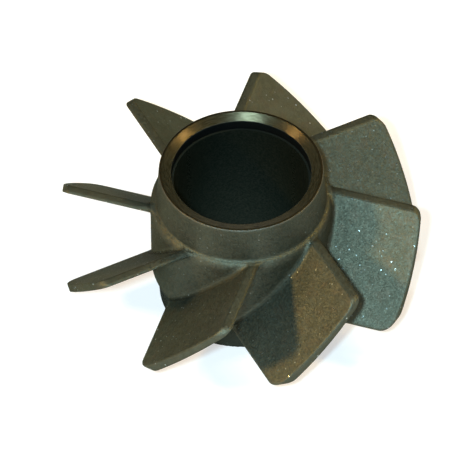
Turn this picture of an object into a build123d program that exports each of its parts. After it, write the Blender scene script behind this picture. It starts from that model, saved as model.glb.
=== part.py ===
from build123d import *
import math
import os

os.makedirs("parts", exist_ok=True)

# Axial-flow pump impeller, one casting. The origin is the centre of the hub's lower end face.

# Driving dimensions, mm and degrees
blade_count = 8
tip_diameter = 130.0
hub_height = 62.0
blade_top = 46.8
blade_bottom = 14.7

# Blades: flat inclined plates that thicken downwards, their ends level and their tips on a cylinder
blade_angle = 45.3
leading_thickness = 2.8
trailing_thickness = 3.3
blade_lead = 12.4
tip_corner_top_radius = 3.2
tip_corner_bottom_radius = 4.6
root_fillet_radius = 1.2
blade_edge_radius = 0.4

# The rough plates start inside the hub and overrun the finished ends by this much
plate_start = 13.0
overrun = 5.0

# Hub: tapered skirt, barrel with a rounded shoulder and a narrow land, conical collar
base_radius = 30.0
skirt_radius = 30.6
skirt_height = 8.0
barrel_radius = 32.8
shoulder_height = 3.0
land_radius = 31.6
collar_foot_radius = 30.6
collar_foot_fillet = 0.8
rim_radius = 29.6
rim_edge_radius = 0.3
base_edge_radius = 0.4

# Bore: bevelled mouth, short register, plain bore right through
mouth_radius = 28.6
mouth_depth = 1.3
register_radius = 25.1
register_depth = 5.0
bore_radius = 24.3
bore_chamfer = 0.8

# Derived sizes
tip_radius = tip_diameter / 2
blade_height = blade_top - blade_bottom
drift = 1 / math.tan(math.radians(blade_angle))
leading_width = leading_thickness / math.sin(math.radians(blade_angle))
trailing_width = trailing_thickness / math.sin(math.radians(blade_angle))
plate_top = blade_top + overrun
plate_bottom = blade_bottom - overrun
thickening = (trailing_width - leading_width) / blade_height
width_at_plate_top = leading_width - overrun * thickening
width_at_plate_bottom = trailing_width + overrun * thickening
lead_at_plate_top = blade_lead + overrun * drift
lead_at_plate_bottom = lead_at_plate_top - (plate_top - plate_bottom) * drift
seat = blade_bottom + 2 * blade_edge_radius
core_radius = collar_foot_radius - 1


def turned_edge(radius, height):
    circles = impeller.edges().filter_by(GeomType.CIRCLE)
    level = circles.filter_by(lambda edge: abs(edge.arc_center.Z - height) < 0.01)
    return level.filter_by(lambda edge: abs(edge.radius - radius) < 0.01)


# One rough plate, leaning across the radius that it follows
with BuildPart() as plate:
    with BuildSketch(Plane.YZ.offset(plate_start)):
        with BuildLine():
            Polyline(
                (lead_at_plate_top, plate_top),
                (lead_at_plate_top + width_at_plate_top, plate_top),
                (lead_at_plate_bottom + width_at_plate_bottom, plate_bottom),
                (lead_at_plate_bottom, plate_bottom),
                close=True,
            )
        make_face()
    extrude(amount=tip_radius)

# Blade row: the plates blended to a length of barrel, then cut to the row's outline
with BuildPart() as blade_row:
    with BuildSketch(Plane.XZ):
        with BuildLine():
            wall = Line((barrel_radius, plate_bottom), (barrel_radius, blade_top - shoulder_height))
            shoulder = TangentArc(wall @ 1, (land_radius, blade_top), tangent=wall % 1)
            slope = Line(shoulder @ 1, shoulder @ 1 + (shoulder % 1) * (overrun / (shoulder % 1).Y))
            Polyline(slope @ 1, (0, plate_top), (0, plate_bottom), wall @ 0)
        make_face()
    revolve(axis=Axis.Z)
    with PolarLocations(0, blade_count):
        add(plate.part)
    fillet(blade_row.edges(Select.NEW), root_fillet_radius)

    with BuildSketch(Plane.XZ) as outline:
        with Locations((tip_radius / 2, (blade_top + blade_bottom) / 2)):
            Rectangle(tip_radius, blade_height)
        lower_corner = outline.vertices().group_by(Axis.X)[-1].sort_by(Axis.Y)[0]
        fillet(lower_corner, tip_corner_bottom_radius)
        upper_corner = outline.vertices().group_by(Axis.Y)[-1].sort_by(Axis.X)[-1]
        fillet(upper_corner, tip_corner_top_radius)
    revolve(axis=Axis.Z, mode=Mode.INTERSECT)

    # Each rounding runs on from these straight edges round the tips, the roots and the barrel
    level_edges = blade_row.edges().filter_by(GeomType.LINE).filter_by(Plane.XY)
    fillet(level_edges, blade_edge_radius)

# The casting: hub and blade row in one, bored through
with BuildPart() as impeller:
    with BuildSketch(Plane.XZ):
        with BuildLine():
            Polyline(
                (0, 0),
                (base_radius, 0),
                (skirt_radius, skirt_height),
                (barrel_radius, seat),
                (core_radius, seat),
                (core_radius, blade_top),
                (collar_foot_radius, blade_top),
                (rim_radius, hub_height),
                (0, hub_height),
                close=True,
            )
        make_face()
    revolve(axis=Axis.Z)
    add(blade_row.part)

    with BuildSketch(Plane.XZ):
        with BuildLine():
            Polyline(
                (0, 0),
                (bore_radius + bore_chamfer, 0),
                (bore_radius, bore_chamfer),
                (bore_radius, hub_height - register_depth),
                (register_radius, hub_height - register_depth),
                (register_radius, hub_height - mouth_depth),
                (mouth_radius, hub_height),
                (0, hub_height),
                close=True,
            )
        make_face()
    revolve(axis=Axis.Z, mode=Mode.SUBTRACT)

    fillet(turned_edge(collar_foot_radius, blade_top), collar_foot_fillet)
    fillet(turned_edge(rim_radius, hub_height), rim_edge_radius)
    fillet(turned_edge(base_radius, 0), base_edge_radius)

impeller.part.label = "impeller"
export_step(impeller.part, "parts/impeller.step")
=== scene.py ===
import bpy
import math
from mathutils import Matrix, Vector

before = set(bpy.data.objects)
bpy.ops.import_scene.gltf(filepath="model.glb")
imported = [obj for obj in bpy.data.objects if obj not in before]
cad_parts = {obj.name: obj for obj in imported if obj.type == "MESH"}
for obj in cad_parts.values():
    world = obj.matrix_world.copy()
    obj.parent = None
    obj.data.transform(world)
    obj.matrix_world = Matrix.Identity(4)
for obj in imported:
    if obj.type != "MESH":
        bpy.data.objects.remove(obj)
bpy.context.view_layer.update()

# The photograph's frame, in pixels
IMAGE_SIZE = 452

# Levels and radii of the casting, in metres, and how far past a face its mask reaches
HUB_HEIGHT = 0.062
MOUTH_FLOOR = 0.0607
REGISTER_FLOOR = 0.0570
REGISTER_RADIUS = 0.0251
BORE_RADIUS = 0.0243
MOUTH_RADIUS = 0.0286
MARGIN = 0.0001

# Camera: its bearing and elevation are seen from the middle of the rim, and the pitch, yaw and
# roll turn it a little away from there. Angles are in degrees, the distance is in metres.
CAMERA_BEARING = -71.929
CAMERA_ELEVATION = 47.131
CAMERA_DISTANCE = 2.95
CAMERA_PITCH = 0.389
CAMERA_YAW = -0.1081
CAMERA_ROLL = 0.441
FOCAL_PIXELS = 8224.8
SENSOR_WIDTH = 36.0


def polar(bearing, elevation, distance):
    """A point seen from the axis at the rim's height, by bearing and elevation in degrees."""
    a = math.radians(bearing)
    e = math.radians(elevation)
    return Vector((distance * math.cos(a) * math.cos(e),
                   distance * math.sin(a) * math.cos(e),
                   HUB_HEIGHT + distance * math.sin(e)))


def aim(position, target):
    """A rotation that looks from position to target with +Z up."""
    return (target - position).to_track_quat("-Z", "Y").to_matrix()


def make_camera():
    data = bpy.data.cameras.new("camera")
    camera = bpy.data.objects.new("camera", data)
    bpy.context.scene.collection.objects.link(camera)
    data.sensor_width = SENSOR_WIDTH
    data.lens = FOCAL_PIXELS * SENSOR_WIDTH / IMAGE_SIZE
    data.clip_end = 20
    position = polar(CAMERA_BEARING, CAMERA_ELEVATION, CAMERA_DISTANCE)
    turn = (Matrix.Rotation(math.radians(CAMERA_ROLL), 3, "Z")
            @ Matrix.Rotation(math.radians(CAMERA_YAW), 3, "Y")
            @ Matrix.Rotation(math.radians(CAMERA_PITCH), 3, "X"))
    facing = aim(position, Vector((0, 0, HUB_HEIGHT))) @ turn.transposed()
    camera.matrix_world = Matrix.Translation(position) @ facing.to_4x4()
    bpy.context.scene.camera = camera


class Graph:
    """Short calls for building a node tree."""

    def __init__(self, tree):
        self.nodes = tree.nodes
        self.links = tree.links
        self.nodes.clear()

    def node(self, kind, inputs=None, **settings):
        made = self.nodes.new(kind)
        for name, value in settings.items():
            setattr(made, name, value)
        for name, value in (inputs or {}).items():
            self.feed(made.inputs[name], value)
        return made

    def feed(self, socket, value):
        if isinstance(value, bpy.types.NodeSocket):
            self.links.new(value, socket)
        else:
            socket.default_value = value

    def math(self, operation, a, b=0.0, c=0.0, clamp=False):
        return self.node("ShaderNodeMath", {0: a, 1: b, 2: c}, operation=operation, use_clamp=clamp).outputs[0]

    def both(self, a, b):
        return self.math("MULTIPLY", a, b)

    def step(self, value, low, high, start=0.0, end=1.0):
        inputs = {"Value": value, "From Min": low, "From Max": high, "To Min": start, "To Max": end}
        return self.node("ShaderNodeMapRange", inputs, interpolation_type="SMOOTHSTEP").outputs["Result"]

    def band(self, value, rise, full, fade, end):
        """0 outside rise to end, 1 between full and fade."""
        return self.both(self.step(value, rise, full), self.step(value, end, fade))

    def noise(self, vector, scale, detail=2.0, roughness=0.5):
        inputs = {"Vector": vector, "Scale": scale, "Detail": detail, "Roughness": roughness}
        return self.node("ShaderNodeTexNoise", inputs).outputs["Fac"]

    def cells(self, vector, scale):
        return self.node("ShaderNodeTexVoronoi", {"Vector": vector, "Scale": scale}).outputs

    def vector(self, x, y, z=0.0):
        return self.node("ShaderNodeCombineXYZ", {"X": x, "Y": y, "Z": z}).outputs[0]

    def colour_mix(self, factor, a, b):
        made = self.node("ShaderNodeMix", data_type="RGBA")
        self.feed(made.inputs[0], factor)
        self.feed(made.inputs[6], a)
        self.feed(made.inputs[7], b)
        return made.outputs[2]

    def tint(self, colour, mask, strength, target):
        """The colour, moved by this strength towards the target where the mask is 1."""
        return self.colour_mix(self.both(mask, strength), colour, target)


# Colours, in linear RGB
SKIN_DARK = (0.096, 0.103, 0.075, 1)
SKIN_PALE = (0.134, 0.145, 0.109, 1)
SKIN_WARM = (0.128, 0.118, 0.086, 1)
# The root colour is painted shade, laid in the blade root fillets and on the blade faces near the hub.
ROOT_SHADE_COLOUR = (0.020, 0.022, 0.016, 1)
GLINT_COLOUR = (0.62, 0.72, 0.70, 1)
HUB_COLOUR = (0.060, 0.066, 0.049, 1)
# The skirt colour is painted shade on the lowest part of the hub, under the blades.
SKIRT_SHADE_COLOUR = (0.040, 0.046, 0.036, 1)
# The tip colour is painted shade on the blades' flat upper edge faces and on their tip end faces.
EDGE_SHADE_COLOUR = (0.050, 0.054, 0.040, 1)
# The bore, register and ledge colours are painted shade inside the hole, darkest on the register's wall where
# its shadow falls.
BORE_SHADE_DARK = (0.017, 0.027, 0.021, 1)
BORE_SHADE_PALE = (0.037, 0.045, 0.035, 1)
REGISTER_SHADOW_COLOUR = (0.016, 0.020, 0.020, 1)
LEDGE_SHADE_COLOUR = (0.026, 0.032, 0.026, 1)
BEVEL_DARK = (0.031, 0.028, 0.013, 1)
BEVEL_PALE = (0.070, 0.064, 0.038, 1)
RIM_COLOUR = (0.028, 0.024, 0.013, 1)
# The rim edge colour is a painted highlight along the rim's outer edge.
RIM_EDGE_HIGHLIGHT_COLOUR = (0.12, 0.12, 0.10, 1)

# Reflection at a grazing angle stays this low, so that the white floor doesn't wash out the sides
EDGE_TINT = (0.25, 0.25, 0.25, 1)

# Where the skin changes, in metres from the axis or above the base. A pair is where a mask is 0
# and where it is 1, and the other two values of a band are where it starts to fall and ends.
HUB_RADII = (0.0331, 0.0328)
BLADE_RADII = (0.0331, 0.0345)
TIP_SHADE_RADII = (0.0644, 0.0649)
RIM_HIGHLIGHT_RADII = (0.02932, 0.02942)
SKIRT_SHADE_LEVELS = (0.0150, 0.0140)
BLADE_TOP_SHADE_LEVELS = (0.0465, 0.0467)
RIM_HIGHLIGHT_LEVELS = (0.06165, 0.06175)
RIM_LEVEL = 0.06195
FILLET_SHADE_BAND = (0.03278, 0.0330, 0.0336, 0.0344)
INNER_SHADE_BAND = (0.0331, 0.0345, 0.0360, 0.0480)
ROOT_BAND = (0.0318, 0.0326, 0.0345, 0.0375)

# How strongly each of those places takes its own colour, which is painted shade at the fillets, the inner
# band, the blade tops, the skirt and the tips
FILLET_SHADE = 0.55
INNER_SHADE = 0.14
BLADE_TOP_SHADE = 0.45
HUB_TINT = 0.36
SKIRT_SHADE = 0.85
TIP_SHADE = 0.2

# Scales of the patterns, in cells per metre
BROAD_SCALE = 45.0
CAST_SCALE = 260.0
MOTTLE_SCALE = 420.0
GLINT_SCALE = 1000.0
GRAIN_SCALE = 1500.0
FACET_SCALE = 2300.0

# Turned strokes on the bevelled mouth: per radian round it, and per metre across it
STROKES_ROUND = 9.0
STROKES_ACROSS = 2600.0

# The skin's light and shade turn the edges and the blade roots over these distances, in metres
SOFTENING = 0.0016
ROOT_SOFTENING = 0.0030

# The skin's relief, in metres, the strength of its bump, and the lean of its facets
RELIEF = 0.0002
RELIEF_STRENGTH = 0.36
FACET_LEAN = 0.25

# Glints: the cells whose random value lies above these, out to these shares of a cell, and how
# much of them the hub loses
GLINT_CHOICE = (0.940, 1.0)
GLINT_REACH = (0.38, 0.18)
HUB_GLINT_LOSS = 0.6

# The turned mouth's roughness, the bore's, what the skin adds, what a glint takes away, and how
# far the mouth is from bare metal
TURNED_ROUGHNESS = 0.22
BORE_ROUGHNESS = 0.6
SKIN_ROUGHNESS = (0.32, 0.46)
GLINT_POLISH = 0.42
MOUTH_OXIDE = 0.35


class Spot:
    """Where a point of the casting is, and what is there."""

    def __init__(self, g):
        self.place = g.node("ShaderNodeTexCoord").outputs["Object"]
        parts = g.node("ShaderNodeSeparateXYZ", {"Vector": self.place}).outputs
        flat = g.vector(parts["X"], parts["Y"])
        self.radius = g.node("ShaderNodeVectorMath", {0: flat}, operation="LENGTH").outputs["Value"]
        self.height = parts["Z"]
        self.angle = g.math("ARCTAN2", parts["Y"], parts["X"])

        # The turned faces: the bore, the ledge at its register's floor and the bevelled mouth
        inside = g.math("LESS_THAN", self.radius, REGISTER_RADIUS + 2 * MARGIN)
        self.bore = g.both(inside, g.math("LESS_THAN", self.height, MOUTH_FLOOR + MARGIN))
        self.register = g.both(self.bore, g.math("GREATER_THAN", self.radius, BORE_RADIUS + 2 * MARGIN))
        self.ledge = g.both(self.bore, g.math("COMPARE", self.height, REGISTER_FLOOR, MARGIN))
        near_top = g.math("GREATER_THAN", self.height, MOUTH_FLOOR + MARGIN)
        self.mouth = g.both(near_top, g.math("LESS_THAN", self.radius, MOUTH_RADIUS + MARGIN))

        self.skin = g.math("SUBTRACT", 1.0, g.math("MAXIMUM", self.bore, self.mouth))
        self.hub = g.step(self.radius, *HUB_RADII)
        self.mottle = g.noise(self.place, MOTTLE_SCALE, 3.0, 0.6)
        self.grain = g.noise(self.place, GRAIN_SCALE, 2.0, 0.6)


def glint_mask(g, spot):
    """A few bright grains of metal, fewer on the hub and none on the turned faces."""
    cells = g.cells(spot.place, GLINT_SCALE)
    chosen = g.node("ShaderNodeSeparateColor", {"Color": cells["Color"]}).outputs["Red"]
    glint = g.both(g.step(chosen, *GLINT_CHOICE), g.step(cells["Distance"], *GLINT_REACH))
    share = g.both(spot.skin, g.math("SUBTRACT", 1.0, g.both(spot.hub, HUB_GLINT_LOSS)))
    return g.both(glint, share)


def skin_colour(g, spot):
    """Broad tone, mottle and grain, with a warmer or cooler cast from patch to patch."""
    broad = g.step(g.noise(spot.place, BROAD_SCALE, 3.0), 0.35, 0.65, 0.0, 0.4)
    tone = g.math("ADD", broad, g.step(spot.mottle, 0.3, 0.7, -0.15, 0.35))
    tone = g.math("ADD", tone, g.step(spot.grain, 0.3, 0.7, -0.2, 0.4), clamp=True)
    cast = g.step(g.noise(spot.place, CAST_SCALE, 2.0), 0.45, 0.75, 0.0, 0.6)
    return g.colour_mix(cast, g.colour_mix(tone, SKIN_DARK, SKIN_PALE), SKIN_WARM)


def zone_colour_with_painted_shade(g, spot, colour):
    """The blade roots, upper edges, skirt and tips are darkened with painted shade, and the hub is a little
    darker.
    """
    blade = g.step(spot.radius, *BLADE_RADII)
    shaded_blade_top = g.both(g.step(spot.height, *BLADE_TOP_SHADE_LEVELS), blade)
    # Painted shade in the blade root fillets and on the blade faces near the hub
    colour = g.tint(colour, g.band(spot.radius, *FILLET_SHADE_BAND), FILLET_SHADE, ROOT_SHADE_COLOUR)
    colour = g.tint(colour, g.band(spot.radius, *INNER_SHADE_BAND), INNER_SHADE, ROOT_SHADE_COLOUR)
    # Painted shade on the blades' flat upper edge faces
    colour = g.tint(colour, shaded_blade_top, BLADE_TOP_SHADE, EDGE_SHADE_COLOUR)
    colour = g.tint(colour, spot.hub, HUB_TINT, HUB_COLOUR)
    # Painted shade on the lowest part of the hub, under the blades
    colour = g.tint(colour, g.step(spot.height, *SKIRT_SHADE_LEVELS), SKIRT_SHADE, SKIRT_SHADE_COLOUR)
    # Painted shade on the blade tip end faces
    return g.tint(colour, g.step(spot.radius, *TIP_SHADE_RADII), TIP_SHADE, EDGE_SHADE_COLOUR)


def turned_colour_with_painted_light(g, spot, colour):
    """The bore with painted shade, the bevelled mouth with its turned strokes, the rim and a painted highlight
    on its edge.
    """
    # Painted shade inside the bore, darkest on the register's wall
    bore = g.colour_mix(g.step(spot.grain, 0.3, 0.7), BORE_SHADE_DARK, BORE_SHADE_PALE)
    colour = g.colour_mix(spot.bore, colour, bore)
    colour = g.colour_mix(spot.register, colour, REGISTER_SHADOW_COLOUR)
    colour = g.colour_mix(spot.ledge, colour, LEDGE_SHADE_COLOUR)

    turned = g.vector(g.both(spot.angle, STROKES_ROUND), g.both(spot.radius, STROKES_ACROSS))
    stroke = g.step(g.noise(turned, 1.0, 3.0, 0.6), 0.35, 0.65)
    colour = g.colour_mix(spot.mouth, colour, g.colour_mix(stroke, BEVEL_DARK, BEVEL_PALE))

    outside = g.math("GREATER_THAN", spot.radius, MOUTH_RADIUS)
    rim = g.both(g.math("GREATER_THAN", spot.height, RIM_LEVEL), outside)
    # A painted highlight along the rim's outer edge
    edge_highlight = g.both(g.step(spot.radius, *RIM_HIGHLIGHT_RADII), g.step(spot.height, *RIM_HIGHLIGHT_LEVELS))
    colour = g.colour_mix(rim, colour, RIM_COLOUR)
    return g.colour_mix(edge_highlight, colour, RIM_EDGE_HIGHLIGHT_COLOUR)


def surface_normal(g, spot):
    """Softened edges and roots, a low uneven relief, and small facets that each lean their own way."""
    reach = g.both(g.band(spot.radius, *ROOT_BAND), ROOT_SOFTENING - SOFTENING)
    reach = g.both(spot.skin, g.math("ADD", SOFTENING, reach))
    softened = g.node("ShaderNodeBevel", {"Radius": reach}, samples=8).outputs[0]
    relief = g.math("ADD", g.both(spot.mottle, 0.6), g.both(spot.grain, 0.3))
    strength = g.both(spot.skin, RELIEF_STRENGTH)
    bump = g.node("ShaderNodeBump", {"Height": relief, "Distance": RELIEF, "Strength": strength,
                                     "Normal": softened}).outputs[0]
    facets = g.cells(spot.place, FACET_SCALE)["Color"]
    centred = g.node("ShaderNodeVectorMath", {0: facets, 1: (0.5, 0.5, 0.5)}, operation="SUBTRACT")
    lean = g.node("ShaderNodeVectorMath", {0: centred.outputs[0], "Scale": g.both(spot.skin, FACET_LEAN)},
                  operation="SCALE")
    tilted = g.node("ShaderNodeVectorMath", {0: bump, 1: lean.outputs[0]}, operation="ADD")
    return g.node("ShaderNodeVectorMath", {0: tilted.outputs[0]}, operation="NORMALIZE").outputs[0]


def casting_material():
    material = bpy.data.materials.new("cast_body")
    material.use_nodes = True
    g = Graph(material.node_tree)
    spot = Spot(g)
    glint = glint_mask(g, spot)
    colour = g.colour_mix(glint, skin_colour(g, spot), GLINT_COLOUR)
    colour = turned_colour_with_painted_light(g, spot, zone_colour_with_painted_shade(g, spot, colour))

    rough = g.step(spot.grain, 0.3, 0.7, *SKIN_ROUGHNESS)
    rough = g.math("MULTIPLY_ADD", spot.skin, rough, TURNED_ROUGHNESS)
    rough = g.math("MAXIMUM", rough, g.both(spot.bore, BORE_ROUGHNESS))
    rough = g.math("SUBTRACT", rough, g.both(glint, GLINT_POLISH))
    metal = g.math("SUBTRACT", 1.0, g.both(spot.mouth, MOUTH_OXIDE))
    shade = g.node("ShaderNodeBsdfPrincipled", {"Base Color": colour, "Metallic": metal, "Roughness": rough,
                                                "Specular Tint": EDGE_TINT, "Normal": surface_normal(g, spot)})
    out = g.node("ShaderNodeOutputMaterial")
    g.links.new(shade.outputs[0], out.inputs["Surface"])
    return material


def seen(g):
    """1 where the background is seen by the camera, in a reflection or through glass."""
    path = g.node("ShaderNodeLightPath").outputs
    either = g.math("MAXIMUM", path["Is Camera Ray"], path["Is Glossy Ray"])
    return g.math("MAXIMUM", either, path["Is Transmission Ray"])


# The floor: half its width and its drop below the base, in metres, its own colour, and the
# light that it adds where it is seen, so that it reads as white and keeps a pale shadow
FLOOR_HALF = 3.0
FLOOR_DROP = 0.0001
FLOOR_COLOUR = (0.50, 0.50, 0.50, 1)
FLOOR_GLOW = 0.61


def make_floor():
    mesh = bpy.data.meshes.new("floor")
    half = FLOOR_HALF
    corners = [(-half, -half, 0), (half, -half, 0), (half, half, 0), (-half, half, 0)]
    mesh.from_pydata(corners, [], [(0, 1, 2, 3)])
    floor = bpy.data.objects.new("floor", mesh)
    bpy.context.scene.collection.objects.link(floor)
    floor.location.z = -FLOOR_DROP
    material = bpy.data.materials.new("floor")
    material.use_nodes = True
    g = Graph(material.node_tree)
    shade = g.node("ShaderNodeBsdfPrincipled", {"Base Color": FLOOR_COLOUR, "Roughness": 0.9,
                                                "Specular IOR Level": 0.0, "Emission Color": (1, 1, 1, 1)})
    g.feed(shade.inputs["Emission Strength"], g.both(seen(g), FLOOR_GLOW))
    out = g.node("ShaderNodeOutputMaterial")
    g.links.new(shade.outputs[0], out.inputs["Surface"])
    mesh.materials.append(material)


# The world: a dim room, and a white backdrop where its lower part is seen. The backdrop fades
# out between these two rises of the line of sight.
AMBIENT = (0.02, 0.02, 0.02, 1)
BACKDROP = (1, 1, 1, 1)
BACKDROP_RISES = (0.30, 0.10)


def make_world():
    world = bpy.data.worlds.new("studio")
    world.use_nodes = True
    bpy.context.scene.world = world
    g = Graph(world.node_tree)
    direction = g.node("ShaderNodeTexCoord").outputs["Generated"]
    rise = g.node("ShaderNodeSeparateXYZ", {"Vector": direction}).outputs["Z"]
    backdrop = g.both(seen(g), g.step(rise, *BACKDROP_RISES))
    colour = g.colour_mix(backdrop, AMBIENT, BACKDROP)
    background = g.node("ShaderNodeBackground", {"Color": colour, "Strength": 1.0})
    out = g.node("ShaderNodeOutputWorld")
    g.links.new(background.outputs[0], out.inputs["Surface"])


# Lamps, all at one distance in metres: name, bearing, elevation, width, strength in watts, colour
LAMP_DISTANCE = 1.6
LAMPS = (
    ("front_cool", -76.5, 47.5, 0.08, 27.8, (0.54, 0.84, 1.00)),
    ("left_warm", -141.0, 36.0, 0.20, 17.5, (1.00, 0.60, 0.17)),
    ("right_warm", 35.0, 50.0, 0.40, 14.2, (1.00, 0.67, 0.21)),
    ("top_cool", 178.0, 85.5, 0.23, 7.4, (0.58, 0.85, 1.00)),
    ("back_left", 165.0, 60.0, 0.07, 1.7, (1.00, 0.60, 0.25)),
    ("back_right", 52.0, 58.0, 0.07, 1.7, (1.00, 0.60, 0.25)),
)


def make_lamps():
    for name, bearing, elevation, width, power, colour in LAMPS:
        data = bpy.data.lights.new(name, "AREA")
        data.shape = "DISK"
        data.size = width
        data.energy = power
        data.color = colour
        lamp = bpy.data.objects.new(name, data)
        bpy.context.scene.collection.objects.link(lamp)
        position = polar(bearing, elevation, LAMP_DISTANCE)
        facing = aim(position, Vector((0, 0, HUB_HEIGHT / 2)))
        lamp.matrix_world = Matrix.Translation(position) @ facing.to_4x4()


bpy.context.scene.view_settings.view_transform = "Standard"
make_camera()
make_world()
make_floor()
make_lamps()
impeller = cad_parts["impeller"]
impeller.data.materials.clear()
impeller.data.materials.append(casting_material())
